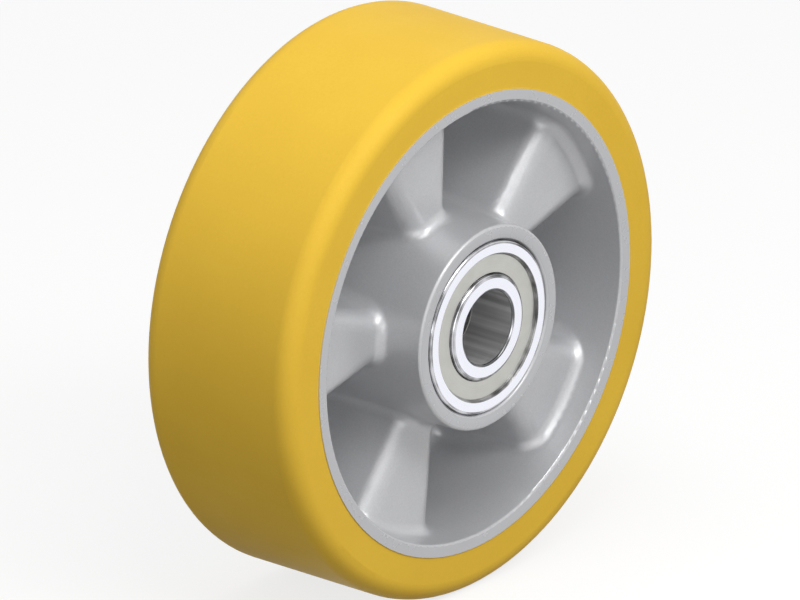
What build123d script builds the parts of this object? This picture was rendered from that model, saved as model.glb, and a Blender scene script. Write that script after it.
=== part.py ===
from build123d import *
import math
import os

# A castor wheel: a cast polyurethane tread on a die-cast aluminium centre, with two shielded ball
# bearings pressed into its hub and a spacer tube between their inner rings.
# All lengths are in millimetres. The wheel spins about Y, its origin is its centre, and its front
# face looks towards -Y. Profiles are drawn as (radius, place along Y) and turned about Y.

# Tread
tread_diameter = 150.0
tread_width = 50.0
tread_thickness = 12.3
tread_edge_radius = 5.0

# Rim of the wheel centre
rim_width = 50.6
rim_wall = 3.4
rim_draft = 3.0
rim_edge_radius = 0.8

# Hub of the wheel centre
hub_length = 60.0
hub_wall = 4.2
hub_draft = 1.5
hub_edge_radius = 0.9
bearing_shoulder_height = 3.5
seat_chamfer = 0.85

# Web of the wheel centre, which runs in and out between hub and rim
rib_count = 5
rib_first_angle = 32.0
rib_depth_below_rim = 8.3
rib_inner_half_width = 7.4
rib_inner_gap = 3.3
rib_side_angle = 16.2
rib_draft = 8.5
rib_edge_radius = 6.0
rib_root_radius = 3.5
web_thickness = 5.0
rear_recess_depth = 8.3
floor_corner_radius = 5.5
rear_corner_radius = 3.5

# Hollows in the back of the ribs
hollow_wall = 4.5
hollow_end_wall = 5.3
hollow_mouth_radius = 4.0
hollow_corner_radius = 2.0
hollow_floor_radius = 1.5
hollow_lip_radius = 1.0

# Ball bearings, one at each end of the hub
bearing_bore = 20.0
bearing_outer_diameter = 47.0
bearing_width = 14.0
bore_chamfer = 0.9
outer_chamfer = 0.65
inner_ring_edge_chamfer = 0.75
ball_count = 8
ball_share_of_section = 0.588
ball_clearance = 0.06
groove_conformity = 0.52
inner_shoulder_share_of_ball = 0.592
outer_land_share_of_ball = 0.617

# Shields in the outer ring's faces
shield_thickness = 0.35
shield_depth = 1.1
shield_recess_step = 1.1
shield_groove_step = 0.5
shield_groove_width = 0.7
shield_groove_clearance = 0.05
shield_bore_clearance = 0.45
shield_lip_depth = 1.0

# Pressed cage of two riveted halves
cage_sheet = 0.6
cage_land_clearance = 1.05
cage_pocket_clearance = 0.12
rivet_diameter = 1.4
rivet_head_diameter = 2.3
rivet_head_height = 0.35

# Spacer tube between the inner rings
spacer_step = 0.9
spacer_chamfer = 0.5

# How far a cut runs out past the face that it opens
cut_overrun = 1.0

# Places along Y that follow from the sizes above
hub_end = hub_length / 2
rim_end = rim_width / 2
bearing_place = hub_end - bearing_width / 2
shoulder_place = hub_end - bearing_width
rib_top = -rim_end + rib_depth_below_rim
web_back = rim_end - rear_recess_depth
web_front = web_back - web_thickness

# Radii that follow from the sizes above
tread_radius = tread_diameter / 2
bond_radius = tread_radius - tread_thickness
rim_opening_radius = bond_radius - rim_wall
bore_radius = bearing_bore / 2
seat_radius = bearing_outer_diameter / 2
hub_face_radius = seat_radius + hub_wall
bearing_shoulder_radius = seat_radius - bearing_shoulder_height
pitch_radius = (bore_radius + seat_radius) / 2
ball_radius = ball_share_of_section * (seat_radius - bore_radius) / 2
inner_shoulder_radius = pitch_radius - inner_shoulder_share_of_ball * ball_radius
outer_land_radius = pitch_radius + outer_land_share_of_ball * ball_radius
shield_recess_radius = outer_land_radius + shield_recess_step
shield_groove_radius = shield_recess_radius + shield_groove_step
spacer_radius = inner_shoulder_radius - spacer_step


def slope(angle):
    """Sideways run for each millimetre along a line at this angle."""
    return math.tan(math.radians(angle))


def turned(points):
    """A closed profile of (radius, place along Y) points."""
    return make_face(Polyline(*points, close=True))


def round_corners(profile, places, radius):
    """The profile with its corners at the given places rounded."""
    corners = []
    for corner in profile.vertices():
        if any(math.dist((corner.X, corner.Y), place) < 0.001 for place in places):
            corners.append(corner)
    return fillet(corners, radius)


def drum(radius, start, end):
    """A plain cylinder about Y from one place to another."""
    return revolve(turned([(0, start), (radius, start), (radius, end), (0, end)]), Axis.Y)


def around(item, angle):
    """The item turned about Y, with the angle counted from +X towards +Z."""
    return Rot(0, -angle, 0) * item


def make_tread():
    """Polyurethane tyre, cast onto the rim, with rounded shoulders."""
    edge = tread_width / 2
    shoulders = [(tread_radius, -edge), (tread_radius, edge)]
    profile = turned([(bond_radius, -edge), *shoulders, (bond_radius, edge)])
    return revolve(round_corners(profile, shoulders, tread_edge_radius), Axis.Y)


def hub_radius(distance):
    """Outer radius of the hub at a distance from its end face."""
    return hub_face_radius + distance * slope(hub_draft)


def opening_radius(distance):
    """Inner radius of the rim at a distance from its side face."""
    return rim_opening_radius - distance * slope(rim_draft)


def make_turned_centre():
    """Hub, rim and the web's floor as one turned body, before the ribs."""
    mouth = seat_radius + seat_chamfer
    front_hub = (hub_face_radius, -hub_end)
    rear_hub = (hub_face_radius, hub_end)
    front_rim = (rim_opening_radius, -rim_end)
    rear_rim = (rim_opening_radius, rim_end)
    front_floor = [
        (opening_radius(web_front + rim_end), web_front),
        (hub_radius(web_front + hub_end), web_front),
    ]
    rear_floor = [
        (hub_radius(hub_end - web_back), web_back),
        (opening_radius(rim_end - web_back), web_back),
    ]
    profile = turned([
        (bearing_shoulder_radius, -shoulder_place),
        (bearing_shoulder_radius, shoulder_place),
        (seat_radius, shoulder_place),
        (seat_radius, hub_end - seat_chamfer),
        (mouth, hub_end),
        rear_hub,
        *rear_floor,
        rear_rim,
        (bond_radius, rim_end),
        (bond_radius, -rim_end),
        front_rim,
        *front_floor,
        front_hub,
        (mouth, -hub_end),
        (seat_radius, -hub_end + seat_chamfer),
        (seat_radius, -shoulder_place),
    ])
    profile = round_corners(profile, [front_hub, rear_hub], hub_edge_radius)
    profile = round_corners(profile, [front_rim, rear_rim], rim_edge_radius)
    profile = round_corners(profile, front_floor, floor_corner_radius)
    profile = round_corners(profile, rear_floor, rear_corner_radius)
    return revolve(profile, Axis.Y)


def rib_half_width(place, along):
    """Half the width of a rib, with its edges sharp, at a distance from the axis and a place along Y."""
    outwards = place - hub_face_radius - rib_inner_gap
    at_top = rib_inner_half_width + outwards * slope(rib_side_angle)
    return at_top + (along - rib_top) * slope(rib_draft)


def rib_section(place, foot):
    """Cross-section of a rib at a distance from the axis, wide at its foot and rounded at its top."""
    top = rib_half_width(place, rib_top)
    base = rib_half_width(place, foot)
    outline = turned([(rib_top, -top), (rib_top, top), (foot, base), (foot, -base)])
    outline = round_corners(outline, [(rib_top, -top), (rib_top, top)], min(rib_edge_radius, top))
    return Plane(origin=(place, 0, 0), x_dir=(0, 1, 0), z_dir=(1, 0, 0)) * outline


def make_rib():
    """One rib along +X, from inside the hub's wall to inside the rim's wall."""
    foot = (web_front + web_back) / 2
    inner = (seat_radius + hub_face_radius) / 2
    outer = (bond_radius + rim_opening_radius) / 2
    rib = loft([rib_section(inner, foot), rib_section(outer, foot)], ruled=True)
    return rib & drum(outer, rib_top - cut_overrun, foot + cut_overrun)


def hollow_outline(along, corner):
    """Outline of the hollow behind a rib at a place along Y, shrunk on all sides by the draft."""
    shrink = (web_back - along) * slope(rib_draft)
    inner = hub_face_radius + hollow_end_wall + shrink
    outer = rim_opening_radius - hollow_end_wall - shrink
    wall = hollow_wall / math.cos(math.radians(rib_side_angle))
    low = rib_half_width(inner, along) - wall
    high = rib_half_width(outer, along) - wall
    outline = turned([(inner, -low), (outer, -high), (outer, high), (inner, low)])
    outline = fillet(outline.vertices(), corner)
    return Plane(origin=(0, along, 0), x_dir=(1, 0, 0), z_dir=(0, 1, 0)) * outline


def make_hollow():
    """The space behind one rib along +X, run out past the back of the web."""
    floor = rib_top + web_thickness
    mouth = web_back + cut_overrun
    space = loft(
        [hollow_outline(floor, hollow_corner_radius), hollow_outline(mouth, hollow_mouth_radius)],
        ruled=True,
    )
    return fillet(space.edges().group_by(Axis.Y)[0], hollow_floor_radius)


def make_wheel_centre():
    """Die-cast centre: hub and rim joined by a web that stands forward in five hollow ribs."""
    base = make_turned_centre()
    angles = [rib_first_angle + k * 360 / rib_count for k in range(rib_count)]
    ribs = [around(make_rib(), angle) for angle in angles]
    centre = base + ribs
    centre = fillet(new_edges(base, *ribs, combined=centre), rib_root_radius)
    hollows = [around(make_hollow(), angle) for angle in angles]
    cored = centre - hollows
    return fillet(new_edges(centre, *hollows, combined=cored), hollow_lip_radius)


def groove(bottom, side):
    """Ring of round section that cuts a ball groove: side 1 reaches outwards, -1 inwards."""
    section = groove_conformity * 2 * ball_radius
    centre = bottom - side * section
    return revolve(Pos(centre, 0) * Circle(section), Axis.Y)


def make_inner_ring():
    """Inner ring of a bearing, with its ball groove."""
    outer = inner_shoulder_radius
    end = bearing_width / 2
    profile = turned([(bore_radius, -end), (outer, -end), (outer, end), (bore_radius, end)])
    profile = chamfer(profile.vertices().group_by(Axis.X)[0], bore_chamfer)
    profile = chamfer(profile.vertices().group_by(Axis.X)[-1], inner_ring_edge_chamfer)
    bottom = pitch_radius - ball_radius - ball_clearance
    return revolve(profile, Axis.Y) - groove(bottom, -1)


def make_outer_ring():
    """Outer ring of a bearing, with its ball groove and a shield seat in each face."""
    end = bearing_width / 2
    seat_end = end - shield_depth
    seat_start = seat_end - shield_groove_width
    profile = turned([
        (outer_land_radius, -seat_start),
        (shield_groove_radius, -seat_start),
        (shield_groove_radius, -seat_end),
        (shield_recess_radius, -seat_end),
        (shield_recess_radius, -end),
        (seat_radius - outer_chamfer, -end),
        (seat_radius, -end + outer_chamfer),
        (seat_radius, end - outer_chamfer),
        (seat_radius - outer_chamfer, end),
        (shield_recess_radius, end),
        (shield_recess_radius, seat_end),
        (shield_groove_radius, seat_end),
        (shield_groove_radius, seat_start),
        (outer_land_radius, seat_start),
    ])
    bottom = pitch_radius + ball_radius + ball_clearance
    return revolve(profile, Axis.Y) - groove(bottom, 1)


def make_shield():
    """Sheet-metal shield for the +Y face: a bead in the outer ring's groove, a flat and an inner lip."""
    face = bearing_width / 2 - shield_depth
    back = face - shield_thickness
    rim = shield_groove_radius - shield_groove_clearance
    bead = face - shield_groove_width + shield_groove_clearance
    bead_start = outer_land_radius + shield_groove_clearance
    bore = inner_shoulder_radius + shield_bore_clearance
    profile = turned([
        (bore, face - shield_lip_depth),
        (bore + shield_thickness, face - shield_lip_depth),
        (bore + shield_thickness, back),
        (bead_start, back),
        (bead_start, bead),
        (rim, bead),
        (rim, face),
        (bore, face),
    ])
    return revolve(profile, Axis.Y)


def ball_angles():
    """Angles of a bearing's balls about Y."""
    return [k * 360 / ball_count for k in range(ball_count)]


def make_ball(angle):
    """One ball in its place on the pitch circle."""
    return around(Pos(pitch_radius, 0, 0) * Sphere(ball_radius), angle)


def make_cage_half():
    """The +Y half of the pressed cage: a flat ring that bulges over each ball."""
    inner = inner_shoulder_radius + cage_land_clearance
    outer = outer_land_radius - cage_land_clearance
    pocket = ball_radius + cage_pocket_clearance
    bulge = pocket + cage_sheet
    solid = drum(outer, 0, cage_sheet)
    for angle in ball_angles():
        solid = solid + around(Pos(pitch_radius, 0, 0) * Sphere(bulge), angle)
    solid = solid & drum(outer, 0, bulge + cut_overrun)
    solid = solid - drum(inner, -cut_overrun, bulge + 2 * cut_overrun)
    for angle in ball_angles():
        solid = solid - around(Pos(pitch_radius, 0, 0) * Sphere(pocket), angle)
        between = angle + 180 / ball_count
        hole = drum(rivet_diameter / 2, -cut_overrun, cage_sheet + cut_overrun)
        solid = solid - around(Pos(pitch_radius, 0, 0) * hole, between)
    return solid


def make_rivets():
    """The rivets that hold the two cage halves, one between each pair of balls."""
    shank = rivet_diameter / 2
    head = rivet_head_diameter / 2
    top = cage_sheet + rivet_head_height
    rivet = revolve(
        turned([
            (0, -top),
            (shank, -top),
            (head, -cage_sheet),
            (shank, -cage_sheet),
            (shank, cage_sheet),
            (head, cage_sheet),
            (shank, top),
            (0, top),
        ]),
        Axis.Y,
    )
    places = [angle + 180 / ball_count for angle in ball_angles()]
    return Compound(children=[around(Pos(pitch_radius, 0, 0) * rivet, angle) for angle in places])


def make_spacer():
    """Tube that keeps the two inner rings apart on the axle."""
    profile = turned([
        (bore_radius, -shoulder_place),
        (spacer_radius, -shoulder_place),
        (spacer_radius, shoulder_place),
        (bore_radius, shoulder_place),
    ])
    return revolve(chamfer(profile.vertices(), spacer_chamfer), Axis.Y)


def bearing_pieces():
    """The pieces of one bearing about the origin, by name, with +Y as its outward side."""
    shield = make_shield()
    cage_half = make_cage_half()
    pieces = {
        "outer_ring": make_outer_ring(),
        "inner_ring": make_inner_ring(),
        "outer_shield": shield,
        "inner_shield": Rot(180, 0, 0) * shield,
        "cage_outer_half": cage_half,
        "cage_inner_half": Rot(180, 0, 0) * cage_half,
        "cage_rivets": make_rivets(),
    }
    for number, angle in enumerate(ball_angles(), start=1):
        pieces[f"ball_{number}"] = make_ball(angle)
    return pieces


def make_parts():
    """Every piece of the wheel in its place, by name."""
    parts = {
        "tread": make_tread(),
        "wheel_centre": make_wheel_centre(),
        "spacer_tube": make_spacer(),
    }
    ends = {
        "front": Pos(0, -bearing_place, 0) * Rot(0, 0, 180),
        "rear": Pos(0, bearing_place, 0),
    }
    for end, place in ends.items():
        for name, piece in bearing_pieces().items():
            parts[f"{end}_{name}"] = place * piece
    return parts


os.makedirs("parts", exist_ok=True)
for name, piece in make_parts().items():
    export_step(piece, f"parts/{name}.step")
    print(name, round(piece.volume, 1))
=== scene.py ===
# %% [markdown]
# # A castor wheel with two ball bearings
#
# This lesson dresses a finished CAD model in Blender. The solids come in as a
# fixed frame: every piece already has its shape, its size and its place, in
# metres, with the axle along the Y axis and the front face towards -Y.
# What is left for Blender is what the eye judges first: the finish of each
# piece, the light and the camera.

# %% Load the wheel
import bmesh
import bpy
import math
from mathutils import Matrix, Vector


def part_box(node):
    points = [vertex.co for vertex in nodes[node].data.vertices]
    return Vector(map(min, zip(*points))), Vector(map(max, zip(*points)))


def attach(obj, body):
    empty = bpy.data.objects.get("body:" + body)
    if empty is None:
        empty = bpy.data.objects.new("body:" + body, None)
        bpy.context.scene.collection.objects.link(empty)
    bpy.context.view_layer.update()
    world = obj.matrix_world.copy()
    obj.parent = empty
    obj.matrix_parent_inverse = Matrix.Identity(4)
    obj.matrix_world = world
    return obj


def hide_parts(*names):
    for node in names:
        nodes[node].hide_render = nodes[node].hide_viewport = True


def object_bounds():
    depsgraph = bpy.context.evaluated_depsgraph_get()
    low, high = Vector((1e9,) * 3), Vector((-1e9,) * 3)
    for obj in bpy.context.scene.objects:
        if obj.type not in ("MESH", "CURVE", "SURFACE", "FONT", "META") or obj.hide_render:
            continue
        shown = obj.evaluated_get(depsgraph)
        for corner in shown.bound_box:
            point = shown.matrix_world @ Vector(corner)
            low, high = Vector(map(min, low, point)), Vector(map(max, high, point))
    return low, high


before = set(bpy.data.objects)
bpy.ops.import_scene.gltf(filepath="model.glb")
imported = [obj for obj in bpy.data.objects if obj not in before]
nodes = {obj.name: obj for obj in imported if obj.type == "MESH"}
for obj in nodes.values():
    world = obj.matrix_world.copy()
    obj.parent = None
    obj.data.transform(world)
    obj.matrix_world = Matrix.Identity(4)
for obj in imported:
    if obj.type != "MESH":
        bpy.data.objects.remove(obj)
cad_low, cad_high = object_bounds()
print("pieces in the wheel:", len(nodes))
print("size in mm:", [round(1000 * (high - low), 1) for low, high in zip(cad_low, cad_high)])

# %% [markdown]
# ## The camera
#
# The photograph has no perspective: the near and the far edge of the tread are
# ellipses of one size. An orthographic camera does the same. Its scale is the
# width of the view in metres, and its direction is an angle round the wheel
# and an angle above the floor. The middle of the wheel is the middle of the
# picture, so the camera aims at the origin.

# %% Camera
VIEW_ROUND = math.radians(-50.0)
VIEW_ABOVE = math.radians(22.0)
VIEW_WIDTH = 0.2076
CAMERA_DISTANCE = 1.2

towards_camera = Vector((
    math.sin(VIEW_ROUND) * math.cos(VIEW_ABOVE),
    -math.cos(VIEW_ROUND) * math.cos(VIEW_ABOVE),
    math.sin(VIEW_ABOVE)))
camera_data = bpy.data.cameras.new("camera")
camera_data.type = "ORTHO"
camera_data.ortho_scale = VIEW_WIDTH
camera = bpy.data.objects.new("camera", camera_data)
camera.location = towards_camera * CAMERA_DISTANCE
camera.rotation_euler = towards_camera.to_track_quat("Z", "Y").to_euler()
bpy.context.scene.collection.objects.link(camera)
bpy.context.scene.camera = camera
print("the camera looks along", [round(-value, 3) for value in towards_camera])

# %% [markdown]
# ## Nodes in a few words
#
# Every finish below is a small graph of nodes in front of one Principled
# shader. Building such a graph in code is easier with three short helpers:
# one starts a material, one adds a node and wires or fills its inputs, and
# one gives the place on the object that all the patterns are drawn from.
# That place is Object coordinates, in metres, because they stay with the
# piece from every side and every joint angle.

# %% Helpers for the node graphs
def start_finish(name, colour, metallic, roughness):
    """A new material and its shader, with the values that hold all over the piece."""
    finish = bpy.data.materials.new(name)
    finish.use_nodes = True
    shader = finish.node_tree.nodes["Principled BSDF"]
    shader.inputs["Base Color"].default_value = (*colour, 1.0)
    shader.inputs["Metallic"].default_value = metallic
    shader.inputs["Roughness"].default_value = roughness
    return finish, shader


def put(finish, kind, inputs=None, **settings):
    """Adds a node of a kind, sets its options, and wires each input to a socket or fills it."""
    made = finish.node_tree.nodes.new(kind)
    for option, value in settings.items():
        setattr(made, option, value)
    for socket, value in (inputs or {}).items():
        if isinstance(value, bpy.types.NodeSocket):
            finish.node_tree.links.new(value, made.inputs[socket])
        else:
            made.inputs[socket].default_value = value
    return made


def wire(finish, output, shader, name):
    """Wires an output into a named input of the shader."""
    finish.node_tree.links.new(output, shader.inputs[name])


def object_place(finish):
    """The place on the object, in metres, the same in every view."""
    return put(finish, "ShaderNodeTexCoord").outputs["Object"]


# %% [markdown]
# ## Patterns that several finishes share
#
# Three patterns do most of the work. Grain is a noise of one size, for cast
# skin and moulded plastic. Turning lines are a noise that only changes with
# the distance from the axle, as a lathe leaves them. Drawn lines run along
# the axle, as in a drawn tube; in the bore they draw painted reflections.
# Other helpers squeeze a pattern into the range that a roughness needs, let a
# colour follow it, or press it into the surface as a relief.

# %% Pattern helpers
def grain(finish, place, size, detail=3.0):
    """Noise whose lumps are about this size in metres."""
    made = put(finish, "ShaderNodeTexNoise", {"Vector": place, "Scale": 1.0 / size, "Detail": detail})
    return made.outputs["Fac"]


def span(finish, value, low, high, start=0.3, end=0.7):
    """Turns a pattern's usual range into another one."""
    made = put(finish, "ShaderNodeMapRange", {
        "Value": value, "From Min": start, "From Max": end, "To Min": low, "To Max": high})
    return made.outputs["Result"]


def sums(finish, operation, first, second):
    """One step of arithmetic on two values."""
    made = put(finish, "ShaderNodeMath", operation=operation)
    for socket, value in zip(made.inputs, (first, second)):
        if isinstance(value, bpy.types.NodeSocket):
            finish.node_tree.links.new(value, socket)
        else:
            socket.default_value = value
    return made.outputs["Value"]


def axle_distance(finish, place):
    """Distance from the axle's line."""
    flat = put(finish, "ShaderNodeVectorMath", {0: place, 1: (1.0, 0.0, 1.0)}, operation="MULTIPLY")
    made = put(finish, "ShaderNodeVectorMath", {0: flat.outputs["Vector"]}, operation="LENGTH")
    return made.outputs["Value"]


def axle_place(finish, place):
    """Place along the axle, counted from the wheel's middle to either side."""
    apart = put(finish, "ShaderNodeSeparateXYZ", {"Vector": place})
    return sums(finish, "ABSOLUTE", apart.outputs["Y"], 0.0)


def turning_lines(finish, place, size):
    """Fine rings about the axle, each about this wide."""
    ring = put(finish, "ShaderNodeCombineXYZ", {
        "X": axle_distance(finish, place), "Y": axle_place(finish, place)})
    return grain(finish, ring.outputs["Vector"], size, detail=2.0)


def drawn_lines(finish, place, size, stretch):
    """Fine lines along the axle, each about this wide and stretched this many times."""
    long = put(finish, "ShaderNodeMapping", {"Vector": place, "Scale": (1.0, 1.0 / stretch, 1.0)})
    return grain(finish, long.outputs["Vector"], size, detail=4.0)


def blend_colours(finish, amount, first, second):
    """Mixes two colours by an amount from 0 to 1."""
    made = put(finish, "ShaderNodeMix", data_type="RGBA")
    factor, one, two = [s for s in made.inputs if s.enabled][:3]
    for socket, value in ((factor, amount), (one, first), (two, second)):
        if isinstance(value, bpy.types.NodeSocket):
            finish.node_tree.links.new(value, socket)
        else:
            socket.default_value = value if isinstance(value, float) else (*value, 1.0)
    return [s for s in made.outputs if s.enabled][0]


def between(finish, pattern, first, second, amount=1.0):
    """A colour that follows a pattern from the first colour towards the second, this far at most."""
    return blend_colours(finish, span(finish, pattern, 0.0, amount), first, second)


def relief(finish, shader, height, depth):
    """Gives the surface a relief of this depth in metres, on top of one it may have."""
    bump = put(finish, "ShaderNodeBump", {"Height": height, "Distance": depth, "Strength": 1.0})
    before = shader.inputs["Normal"].links
    if before:
        finish.node_tree.links.new(before[0].from_socket, bump.inputs["Normal"])
    wire(finish, bump.outputs["Normal"], shader, "Normal")


# %% [markdown]
# ## Polyurethane for the tread
#
# The tread is cast around the aluminium rim in a mould. Cast polyurethane is
# warm yellow, a little cloudy, and satin rather than glossy. A single colour
# would look like paint, so the colour drifts by a few percent over some
# centimetres, the roughness drifts with it, and a very shallow ripple breaks
# up the highlights as the skin of a real casting does.

# %% Tread finish
tread_finish, shader = start_finish("tread_polyurethane", (0.92, 0.58, 0.06), 0.0, 0.5)
shader.inputs["Specular IOR Level"].default_value = 0.1
place = object_place(tread_finish)
clouds = grain(tread_finish, place, 0.03, detail=4.0)
specks = grain(tread_finish, place, 0.0008)
warm = between(tread_finish, clouds, (0.93, 0.595, 0.062), (0.89, 0.56, 0.058))
tone = between(tread_finish, specks, warm, (0.72, 0.45, 0.035), 0.12)
wire(tread_finish, tone, shader, "Base Color")
wire(tread_finish, span(tread_finish, clouds, 0.46, 0.56), shader, "Roughness")
relief(tread_finish, shader, grain(tread_finish, place, 0.0016), 0.00002)
relief(tread_finish, shader, grain(tread_finish, place, 0.012), 0.00008)
print("tread finish:", len(tread_finish.node_tree.nodes), "nodes")

# %% [markdown]
# ## Cast aluminium for the wheel's centre
#
# The centre is a die casting that was blasted after casting, which leaves a
# fine, even grain. The faces of rim and hub were then turned on a lathe, so
# they are smoother and carry soft rings. One material holds both: a mask is
# 1 where a point lies on a turned face, which the place along the axle
# tells, and the two finishes are mixed by that mask. The mask fades out
# over a tenth of a millimetre, because a hard step would show as a line.

# %% Casting finish
cast_finish, shader = start_finish("cast_aluminium", (0.55, 0.555, 0.57), 0.25, 0.33)
shader.inputs["Specular IOR Level"].default_value = 1.0
place = object_place(cast_finish)
along = axle_place(cast_finish, place)
tread_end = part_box("tread")[1].y
hub_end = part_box("wheel_centre")[1].y
RIM_PROUD = 0.0003
BETWEEN_HUB_AND_RIM = 0.045
MASK_DEPTH = 0.00012
TURNED_SMOOTHER = 0.08
rim_end = tread_end + RIM_PROUD
on_rim_face = span(cast_finish, along, 0.0, 1.0, rim_end - MASK_DEPTH, rim_end - MASK_DEPTH / 3)
on_hub_face = span(cast_finish, along, 0.0, 1.0, hub_end - MASK_DEPTH, hub_end - MASK_DEPTH / 3)
outside_hub = sums(cast_finish, "GREATER_THAN", axle_distance(cast_finish, place), BETWEEN_HUB_AND_RIM)
on_rim_face = sums(cast_finish, "MULTIPLY", on_rim_face, outside_hub)
turned_face = sums(cast_finish, "MAXIMUM", on_rim_face, on_hub_face)

grit = grain(cast_finish, place, 0.00045, detail=3.0)
mottle = grain(cast_finish, place, 0.006, detail=4.0)
rings = turning_lines(cast_finish, place, 0.0016)
skin = between(cast_finish, grit, (0.54, 0.545, 0.56), (0.6, 0.605, 0.62))
skin = between(cast_finish, mottle, skin, (0.52, 0.52, 0.53), 0.2)
bright = between(cast_finish, rings, (0.52, 0.525, 0.545), (0.55, 0.555, 0.575))
wire(cast_finish, blend_colours(cast_finish, turned_face, skin, bright), shader, "Base Color")
rough_skin = span(cast_finish, mottle, 0.3, 0.38)
smoother = sums(cast_finish, "MULTIPLY", turned_face, TURNED_SMOOTHER)
wire(cast_finish, sums(cast_finish, "SUBTRACT", rough_skin, smoother), shader, "Roughness")
relief(cast_finish, shader, grit, 0.000003)
print("casting finish:", len(cast_finish.node_tree.nodes), "nodes")

# %% [markdown]
# ## Bearing steel
#
# A bearing ring is hardened steel, and its surfaces differ: the faces are
# ground almost to a mirror, and the rounded edges are only turned, so they are
# darker. Their colour is painted darker still, with dark and light stripes
# that are painted reflections of the surroundings they would mirror. The bore
# carries painted reflections too, as light and dark stripes along the axle.
# A ring is one piece with three materials, one for each kind of surface. That
# is easier to read than one large graph with masks, and each face of the mesh
# knows its own material.

# %% Ground faces
ring_finish, shader = start_finish("ring_ground", (0.86, 0.87, 0.95), 1.0, 0.14)
place = object_place(ring_finish)
lines = turning_lines(ring_finish, place, 0.00012)
haze = grain(ring_finish, place, 0.004)
ground = between(ring_finish, lines, (0.83, 0.84, 0.92), (0.9, 0.91, 0.98))
wire(ring_finish, ground, shader, "Base Color")
wire(ring_finish, span(ring_finish, haze, 0.08, 0.16), shader, "Roughness")
relief(ring_finish, shader, lines, 0.0000006)
print("ground finish:", len(ring_finish.node_tree.nodes), "nodes")

# %% Turned edges
turned_edge_painted_reflection_finish, shader = start_finish("ring_turned_edge_painted_reflection", (0.5, 0.5, 0.52), 1.0, 0.12)
place = object_place(turned_edge_painted_reflection_finish)
lines = turning_lines(turned_edge_painted_reflection_finish, place, 0.0003)
painted_reflection_patches = grain(turned_edge_painted_reflection_finish, place, 0.007, detail=2.0)
# Painted reflections: noise stripes from near black to light grey stand in for dark and bright surroundings
# mirrored by the turned edges. The turned finish itself is also darker than the ground faces.
painted_reflection_streaks = span(turned_edge_painted_reflection_finish, sums(turned_edge_painted_reflection_finish, "ADD", lines, painted_reflection_patches), 0.0, 1.0, 0.88, 1.12)
tone = blend_colours(turned_edge_painted_reflection_finish, painted_reflection_streaks, (0.12, 0.12, 0.125), (0.64, 0.64, 0.67))
wire(turned_edge_painted_reflection_finish, tone, shader, "Base Color")
wire(turned_edge_painted_reflection_finish, span(turned_edge_painted_reflection_finish, lines, 0.08, 0.2), shader, "Roughness")
print("turned edge finish:", len(turned_edge_painted_reflection_finish.node_tree.nodes), "nodes")

# %% Bore
bore_painted_reflection_finish, shader = start_finish("ring_bore_painted_reflection", (0.85, 0.85, 0.86), 0.7, 0.34)
place = object_place(bore_painted_reflection_finish)
painted_reflection_streaks = drawn_lines(bore_painted_reflection_finish, place, 0.003, 60.0)
hairlines = drawn_lines(bore_painted_reflection_finish, place, 0.0004, 60.0)
# Painted reflections: broad light and dark stripes along the axle stand in for what the curved bore would
# mirror. The fine hairlines below are the bore's own marks.
bore = between(bore_painted_reflection_finish, painted_reflection_streaks, (0.42, 0.42, 0.43), (0.98, 0.98, 0.98))
bore = between(bore_painted_reflection_finish, hairlines, bore, (0.5, 0.5, 0.5), 0.2)
wire(bore_painted_reflection_finish, bore, shader, "Base Color")
wire(bore_painted_reflection_finish, span(bore_painted_reflection_finish, painted_reflection_streaks, 0.3, 0.42), shader, "Roughness")
relief(bore_painted_reflection_finish, shader, painted_reflection_streaks, 0.00002)
print("bore finish:", len(bore_painted_reflection_finish.node_tree.nodes), "nodes")

# %% [markdown]
# ## Pressed sheet for the shields
#
# The shields are pressed from thin plated sheet. The plating is warmer and
# much duller than the rings, with a faint cloudiness and rings from the
# rollers and the press. Dull metal needs a higher roughness and a base
# colour that is a little darker and less blue than the rings beside it.

# %% Shield finish
shield_finish, shader = start_finish("shield_steel", (0.55, 0.55, 0.52), 1.0, 0.4)
place = object_place(shield_finish)
rings = turning_lines(shield_finish, place, 0.0003)
cloud = grain(shield_finish, place, 0.003, detail=5.0)
plate = between(shield_finish, rings, (0.53, 0.53, 0.5), (0.58, 0.58, 0.55))
plate = between(shield_finish, cloud, plate, (0.5, 0.49, 0.45), 0.25)
wire(shield_finish, plate, shader, "Base Color")
wire(shield_finish, span(shield_finish, cloud, 0.34, 0.46), shader, "Roughness")
relief(shield_finish, shader, rings, 0.000003)
print("shield finish:", len(shield_finish.node_tree.nodes), "nodes")

# %% [markdown]
# ## Balls, cages and the spacer tube
#
# These sit inside the hub and show only when the wheel is opened up, yet
# each has its own finish. Balls are lapped to a mirror, with a few hair
# scratches. The cage is pressed strip, slightly matt. The rivets are wire
# with struck heads. The tube between the inner rings is drawn steel, with
# lines along it.

# %% Ball finish
ball_finish, shader = start_finish("ball_steel", (0.82, 0.82, 0.84), 1.0, 0.07)
place = object_place(ball_finish)
haze = grain(ball_finish, place, 0.0015, detail=5.0)
stretched = put(ball_finish, "ShaderNodeMapping", {"Vector": place, "Scale": (1.0, 9.0, 1.0)})
hairs = grain(ball_finish, stretched.outputs["Vector"], 0.0009)
lapped = between(ball_finish, haze, (0.78, 0.78, 0.81), (0.87, 0.87, 0.88))
wire(ball_finish, lapped, shader, "Base Color")
wire(ball_finish, span(ball_finish, haze, 0.05, 0.11), shader, "Roughness")
relief(ball_finish, shader, hairs, 0.0000006)
print("ball finish:", len(ball_finish.node_tree.nodes), "nodes")

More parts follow.
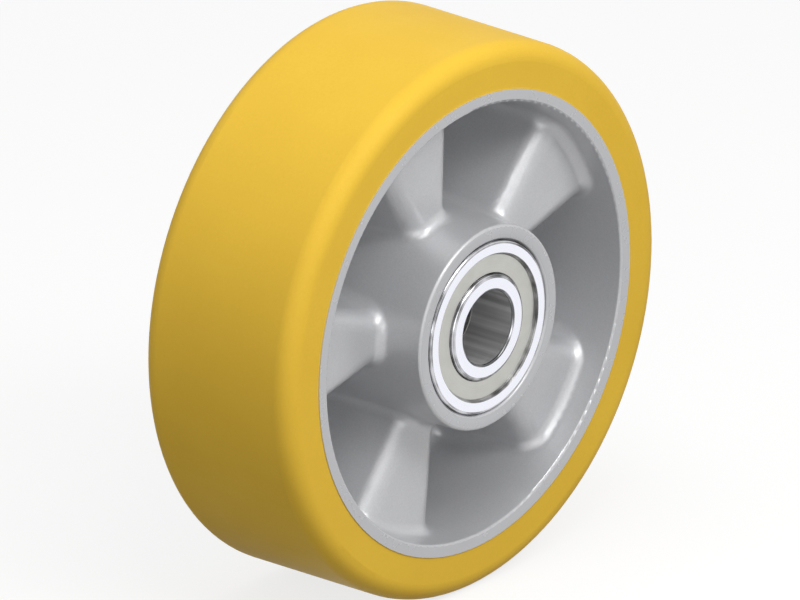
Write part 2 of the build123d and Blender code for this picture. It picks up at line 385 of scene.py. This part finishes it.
# %% Cage finish
cage_finish, shader = start_finish("cage_steel", (0.5, 0.49, 0.47), 1.0, 0.34)
place = object_place(cage_finish)
rolled = grain(cage_finish, place, 0.0006, detail=4.0)
strip = between(cage_finish, rolled, (0.44, 0.43, 0.41), (0.56, 0.55, 0.53))
wire(cage_finish, strip, shader, "Base Color")
wire(cage_finish, span(cage_finish, rolled, 0.28, 0.4), shader, "Roughness")
relief(cage_finish, shader, rolled, 0.000008)
print("cage finish:", len(cage_finish.node_tree.nodes), "nodes")

# %% Rivet finish
rivet_finish, shader = start_finish("rivet_steel", (0.62, 0.6, 0.57), 1.0, 0.28)
place = object_place(rivet_finish)
struck = grain(rivet_finish, place, 0.0003, detail=3.0)
wire_end = between(rivet_finish, struck, (0.55, 0.53, 0.5), (0.68, 0.66, 0.63))
wire(rivet_finish, wire_end, shader, "Base Color")
wire(rivet_finish, span(rivet_finish, struck, 0.22, 0.34), shader, "Roughness")
relief(rivet_finish, shader, struck, 0.000006)
print("rivet finish:", len(rivet_finish.node_tree.nodes), "nodes")

# %% Tube finish
tube_finish, shader = start_finish("tube_steel", (0.4, 0.4, 0.41), 1.0, 0.36)
place = object_place(tube_finish)
drawn = drawn_lines(tube_finish, place, 0.0006, 40.0)
stain = grain(tube_finish, place, 0.005, detail=4.0)
steel = between(tube_finish, drawn, (0.26, 0.26, 0.26), (0.52, 0.52, 0.52))
steel = between(tube_finish, stain, steel, (0.36, 0.34, 0.31), 0.3)
wire(tube_finish, steel, shader, "Base Color")
wire(tube_finish, span(tube_finish, stain, 0.28, 0.42), shader, "Roughness")
relief(tube_finish, shader, drawn, 0.00001)
print("tube finish:", len(tube_finish.node_tree.nodes), "nodes")

# %% [markdown]
# ## Every piece gets its finish
#
# The names of the pieces say what they are, so a short list of endings is
# enough to hand out the materials. Anything that fell through the list would
# keep the grey it came with, so the last line counts what was dressed.

# %% Hand out the finishes
FINISH_OF = {
    "tread": tread_finish,
    "wheel_centre": cast_finish,
    "spacer_tube": tube_finish,
    "shield": shield_finish,
    "_ring": ring_finish,
    "rivets": rivet_finish,
    "cage": cage_finish,
    "ball": ball_finish,
}
dressed = 0
for name, piece in nodes.items():
    finish = next(finish for words, finish in FINISH_OF.items() if words in name)
    piece.data.materials.clear()
    piece.data.materials.append(finish)
    dressed += 1
print("pieces dressed:", dressed, "of", len(nodes))

# %% [markdown]
# ## Turned pieces with rounded edges
#
# Rings, shields and the spacer tube are all round, so each could come from
# a lathe. Spinning does the same in Blender: half of the section is drawn
# as a closed line of a few points beside the axle, and bmesh turns it once
# round. The bevel operator then rounds single edges by their real radius,
# which catches the thin bright lines that a real bearing shows. A pair of
# extra points beside each rounding holds the flat faces flat, because smooth
# shading would otherwise bend the light across a whole face.

# %% Helpers for turned pieces
STEPS_ROUND = 256
STEPS_IN_ROUNDING = 5
HOLD = 1.15
SNAP = 0.000001
SHARP_ANGLE = math.radians(35.0)


def held(section):
    """The points of a section, with one more past each end of every rounding."""
    points = []
    for before, here, after in zip(section[-1:] + section[:-1], section, section[1:] + section[:1]):
        spot = Vector(here[:2])
        ways = [(Vector(other[:2]) - spot).normalized() for other in (before, after)]
        beside = [spot + way * here[2] * HOLD for way in ways]
        points += [beside[0], spot, beside[1]] if here[2] else [spot]
    return points


def spun(section):
    """A closed section of (radius, along, rounding) corners, turned once about the axle."""
    shape = bmesh.new()
    corners = [shape.verts.new((point.x, point.y, 0.0)) for point in held(section)]
    outline = [shape.edges.new(pair) for pair in zip(corners, corners[1:] + corners[:1])]
    bmesh.ops.spin(
        shape, geom=corners + outline, cent=(0.0, 0.0, 0.0), axis=(0.0, 1.0, 0.0),
        angle=math.tau, steps=STEPS_ROUND, use_merge=True)
    bmesh.ops.remove_doubles(shape, verts=shape.verts, dist=SNAP / 10)
    return shape


def radius_of(vertex):
    """Distance of a vertex from the axle."""
    return math.hypot(vertex.co.x, vertex.co.z)


def round_edges(shape, section):
    """Rounds the corners of the section that ask for it, and marks them with the second material."""
    for radius, along, rounding in section:
        if rounding:
            edges = [
                edge for edge in shape.edges
                if all(abs(radius_of(v) - radius) < SNAP and abs(v.co.y - along) < SNAP for v in edge.verts)]
            made = bmesh.ops.bevel(
                shape, geom=edges, offset=rounding, offset_type="OFFSET", segments=STEPS_IN_ROUNDING,
                profile=0.5, affect="EDGES", material=-1)
            for face in made["faces"]:
                face.material_index = 1


def finish_piece(name, shape, finishes, replaced, body):
    """Turns a bmesh into a finished piece that stands for a CAD piece and rides on its body."""
    bmesh.ops.recalc_face_normals(shape, faces=shape.faces)
    mesh = bpy.data.meshes.new(name)
    shape.to_mesh(mesh)
    shape.free()
    for finish in finishes:
        mesh.materials.append(finish)
    mesh.shade_smooth()
    mesh.set_sharp_from_angle(angle=SHARP_ANGLE)
    piece = bpy.data.objects.new(name, mesh)
    bpy.context.scene.collection.objects.link(piece)
    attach(piece, body)
    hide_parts(replaced)
    print(name, "has", len(mesh.polygons), "faces")
    return piece


# %% [markdown]
# ## The sections of a bearing
#
# The frame gives the outside of every piece, so the radii of the rings, the
# depth of the shield and the size of a ball are read from its boxes. Only
# the roundings and the shape inside a section are named here. The two
# bearings are mirror images, so one section serves both ends of the hub.

# %% Sizes read from the frame
outer_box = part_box("rear_outer_ring")
face, back = outer_box[1].y, outer_box[0].y
seat_radius = outer_box[1].x
shoulder_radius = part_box("rear_inner_ring")[1].x
shield_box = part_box("rear_outer_shield")
ball_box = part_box("rear_ball_1")
ball_radius = (ball_box[1].y - ball_box[0].y) / 2
pitch_radius = (ball_box[1].x + ball_box[0].x) / 2
middle = (face + back) / 2
print("ball and pitch radius in mm:", [round(1000 * size, 3) for size in (ball_radius, pitch_radius)])

# %% Sizes inside the sections
BORE_RADIUS = 0.010
SEAT_ROUNDING = 0.0009
BORE_ROUNDING = 0.0006
SHOULDER_ROUNDING = 0.0010
SMALL_ROUNDING = 0.00015
RECESS_STEP = 0.0007
LAND_STEP = 0.0009
SHIELD_GROOVE_WIDTH = 0.0007
BALL_CLEARANCE = 0.00006
GROOVE_CONFORMITY = 0.52
GROOVE_STEPS = 14
plate_place = shield_box[1].y
recess_radius = shield_box[1].x - RECESS_STEP
land_radius = recess_radius - LAND_STEP
groove_section = 2 * GROOVE_CONFORMITY * ball_radius
print("radius of the groove's arc in mm:", round(1000 * groove_section, 3))


def ball_groove(side, line):
    """Points of a ball groove, down from the face: side 1 bulges outwards and -1 inwards."""
    bottom = pitch_radius + side * (ball_radius + BALL_CLEARANCE)
    centre = bottom - side * groove_section
    half = math.acos(side * (line - centre) / groove_section)
    turns = [half * (1 - 2 * k / GROOVE_STEPS) for k in range(GROOVE_STEPS + 1)]
    return [
        (centre + side * groove_section * math.cos(turn), middle + groove_section * math.sin(turn), 0.0)
        for turn in turns]


# %% Sections of the rings
shield_seat = [
    (recess_radius, face, SMALL_ROUNDING),
    (recess_radius, plate_place, 0.0),
    (shield_box[1].x, plate_place, 0.0),
    (shield_box[1].x, plate_place - SHIELD_GROOVE_WIDTH, 0.0),
    (land_radius, plate_place - SHIELD_GROOVE_WIDTH, 0.0),
]
far_seat = [(radius, 2 * middle - along, rounding) for radius, along, rounding in reversed(shield_seat)]
OUTER_RING = [
    (seat_radius, back, SEAT_ROUNDING), (seat_radius, face, SEAT_ROUNDING),
    *shield_seat, *ball_groove(1, land_radius), *far_seat]
INNER_RING = [
    (BORE_RADIUS, back, SMALL_ROUNDING), (BORE_RADIUS, face, BORE_ROUNDING),
    (shoulder_radius, face, SHOULDER_ROUNDING), *ball_groove(-1, shoulder_radius),
    (shoulder_radius, back, SHOULDER_ROUNDING)]
print("corners in the outer ring's section:", len(OUTER_RING))

# %% Section of a shield
SHEET = 0.00035
SHIELD_PLAY = 0.00005
SHIELD_GAP = 0.00014
SHIELD_BEND = 0.00028
PLATE_RISE = 0.0002
BEAD_SLOPE = 0.0003
shield_bore = shoulder_radius + SHIELD_GAP
plate_top = plate_place + PLATE_RISE
bead_start = land_radius + SHIELD_PLAY
bead_end = shield_box[1].x - SHIELD_PLAY
bead_back = plate_place - SHIELD_GROOVE_WIDTH + SHIELD_PLAY
SHIELD = [
    (shield_bore, shield_box[0].y, 0.0),
    (shield_bore, plate_top, SHIELD_BEND),
    (recess_radius - 2 * BEAD_SLOPE, plate_top, SMALL_ROUNDING),
    (recess_radius - BEAD_SLOPE, plate_place, 0.0),
    (bead_end, plate_place, 0.0),
    (bead_end, bead_back, 0.0),
    (bead_start, bead_back, 0.0),
    (bead_start, plate_top - SHEET, 0.0),
    (shield_bore + SHEET, plate_top - SHEET, 0.0),
    (shield_bore + SHEET, shield_box[0].y, 0.0),
]
print("gap between shield and inner ring in mm:", round(1000 * SHIELD_GAP, 2))

# %% [markdown]
# ## The finer pieces take their places
#
# Each new piece stands for one piece of the frame and rides on the same
# body, so it turns with the joint as the old one did. A face of the mesh
# keeps the number of its material: 0 for ground faces, 1 for what is only
# turned, which is every rounding and the wall of the recess and carries
# painted reflections, and 2 for the bore, which carries painted reflections
# along the axle.

# %% Both bearings
ring_finishes = (ring_finish, turned_edge_painted_reflection_finish, bore_painted_reflection_finish)
for end, side in (("front", -1), ("rear", 1)):
    sections = {"outer_ring": OUTER_RING, "inner_ring": INNER_RING, "outer_shield": SHIELD}
    for part, corners in sections.items():
        section = [(radius, side * along, rounding) for radius, along, rounding in corners]
        shape = spun(section)
        round_edges(shape, section)
        for polygon in shape.faces:
            if all(radius_of(vertex) < BORE_RADIUS + SNAP for vertex in polygon.verts):
                polygon.material_index = 2
            if all(abs(radius_of(vertex) - recess_radius) < SNAP for vertex in polygon.verts):
                polygon.material_index = 1
        is_shield = part == "outer_shield"
        finishes = (shield_finish, shield_finish) if is_shield else ring_finishes
        body = "axle_sleeve" if part == "inner_ring" else "wheel"
        finish_piece(f"{end}_{part}_fine", shape, finishes, f"{end}_{part}", body)

# %% Spacer tube
TUBE_ROUNDING = 0.00012
TUBE_EDGE_ROUNDING = 0.0003
tube_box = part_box("spacer_tube")
TUBE = [
    (BORE_RADIUS, tube_box[0].y, TUBE_ROUNDING), (tube_box[1].x, tube_box[0].y, TUBE_EDGE_ROUNDING),
    (tube_box[1].x, tube_box[1].y, TUBE_EDGE_ROUNDING), (BORE_RADIUS, tube_box[1].y, TUBE_ROUNDING)]
tube = spun(TUBE)
round_edges(tube, TUBE)
finish_piece(
    "spacer_tube_fine", tube, (tube_finish, tube_finish), "spacer_tube", "axle_sleeve")

# %% [markdown]
# ## Even light on the casting
#
# The rounded edges of the casting are so fine that smooth shading lets them
# bend the light on the flat faces beside them, and a thin highlight breaks
# into dashes. The wheel centre is copied, the doubled corners of its mesh
# are merged, and the weighted normal modifier then lets the large faces
# decide how the corners are shaded. The shape itself doesn't change.

# %% Wheel centre with even shading
LARGE_FACE_WEIGHT = 90
casting = bmesh.new()
casting.from_mesh(nodes["wheel_centre"].data)
bmesh.ops.remove_doubles(casting, verts=casting.verts, dist=SNAP)
centre = finish_piece(
    "wheel_centre_even", casting, (cast_finish,), "wheel_centre", "wheel")
even = centre.modifiers.new("even_faces", "WEIGHTED_NORMAL")
even.weight = LARGE_FACE_WEIGHT
even.keep_sharp = True

# %% [markdown]
# ## Floor and sky
#
# A product picture stands on white. The floor is a plain diffuse sheet, so
# it keeps the soft shadow under the wheel, and its paint is grey, so it
# throws little light up at the wheel. A glow that only the camera and
# mirror-like surfaces see lifts its open parts to white. The sky works in
# the same way: white for the camera and for reflections, and dimmer as a
# source of light.

# %% Helper for what is seen directly
def seen_directly(graph):
    """A value of 1 for the rays that see a thing: from the camera, off a mirror or through glass."""
    rays = put(graph, "ShaderNodeLightPath")
    seen = sums(graph, "MAXIMUM", rays.outputs["Is Camera Ray"], rays.outputs["Is Glossy Ray"])
    return sums(graph, "MAXIMUM", seen, rays.outputs["Is Transmission Ray"])


# %% Floor
FLOOR_HALF = 4.0
FLOOR_PAINT = 0.25
FLOOR_GLOW = 0.78
floor_mesh = bpy.data.meshes.new("floor")
sheet = bmesh.new()
bmesh.ops.create_grid(sheet, x_segments=1, y_segments=1, size=FLOOR_HALF)
bmesh.ops.translate(sheet, verts=sheet.verts, vec=(0.0, 0.0, cad_low.z))
sheet.to_mesh(floor_mesh)
sheet.free()
floor = bpy.data.objects.new("floor", floor_mesh)
bpy.context.scene.collection.objects.link(floor)
print("floor at", round(cad_low.z, 4), "m")

# %% Floor finish
floor_finish = bpy.data.materials.new("floor_white")
floor_finish.use_nodes = True
floor_nodes = floor_finish.node_tree.nodes
floor_nodes.remove(floor_nodes["Principled BSDF"])
paint = put(floor_finish, "ShaderNodeBsdfDiffuse", {"Color": (FLOOR_PAINT, FLOOR_PAINT, FLOOR_PAINT, 1.0)})
glow_strength = sums(floor_finish, "MULTIPLY", seen_directly(floor_finish), FLOOR_GLOW)
glow = put(floor_finish, "ShaderNodeEmission", {"Color": (1.0, 1.0, 1.0, 1.0), "Strength": glow_strength})
both = put(floor_finish, "ShaderNodeAddShader", {0: paint.outputs["BSDF"], 1: glow.outputs["Emission"]})
floor_finish.node_tree.links.new(both.outputs["Shader"], floor_nodes["Material Output"].inputs["Surface"])
floor_mesh.materials.append(floor_finish)
print("floor glows with", FLOOR_GLOW, "for the camera")

# %% Sky
SKY_LIGHT = 0.4
SKY_SEEN = 1.0
sky = bpy.data.worlds.new("sky")
sky.use_nodes = True
bpy.context.scene.world = sky
background = sky.node_tree.nodes["Background"]
background.inputs["Color"].default_value = (1.0, 1.0, 1.0, 1.0)
strength = span(sky, seen_directly(sky), SKY_LIGHT, SKY_SEEN, 0.0, 1.0)
wire(sky, strength, background, "Strength")
print("sky lights with", SKY_LIGHT, "and looks", SKY_SEEN)

# %% [markdown]
# ## Lamps
#
# Metal is lit by what it mirrors, so the size and the place of a lamp matter
# as much as its power. The white stripes on the ribs' rounded edges tell
# where the main lamp hung: up in front of the wheel. Large soft boxes give
# broad stripes and soft shadows. Each lamp is aimed at the wheel's middle.

# %% Soft boxes
LAMP_DISTANCE = 0.9
LAMPS = (
    ("lamp_front_top", (0.05, -0.72, 0.69), 0.36, 0.3, 2.7),
    ("lamp_high_front", (-0.3, -0.45, 0.84), 0.4, 0.4, 1.7),
    ("lamp_left", (-0.68, -0.68, 0.25), 0.5, 0.5, 0.95),
    ("lamp_top", (-0.2, 0.1, 0.97), 0.5, 0.5, 1.3),
)
for name, direction, width, height, watts in LAMPS:
    lamp = bpy.data.lights.new(name, "AREA")
    lamp.shape = "RECTANGLE"
    lamp.size = width
    lamp.size_y = height
    lamp.energy = watts
    holder = bpy.data.objects.new(name, lamp)
    towards = Vector(direction).normalized()
    holder.location = towards * LAMP_DISTANCE
    holder.rotation_euler = towards.to_track_quat("Z", "Y").to_euler()
    bpy.context.scene.collection.objects.link(holder)
    print(name, "hangs at", [round(value, 2) for value in holder.location], "with", watts, "W")

# %% [markdown]
# ## Finish
#
# The view transform is Standard, so a colour on the screen is the colour
# that was lit.

# %% Finish
bpy.context.scene.view_settings.view_transform = "Standard"
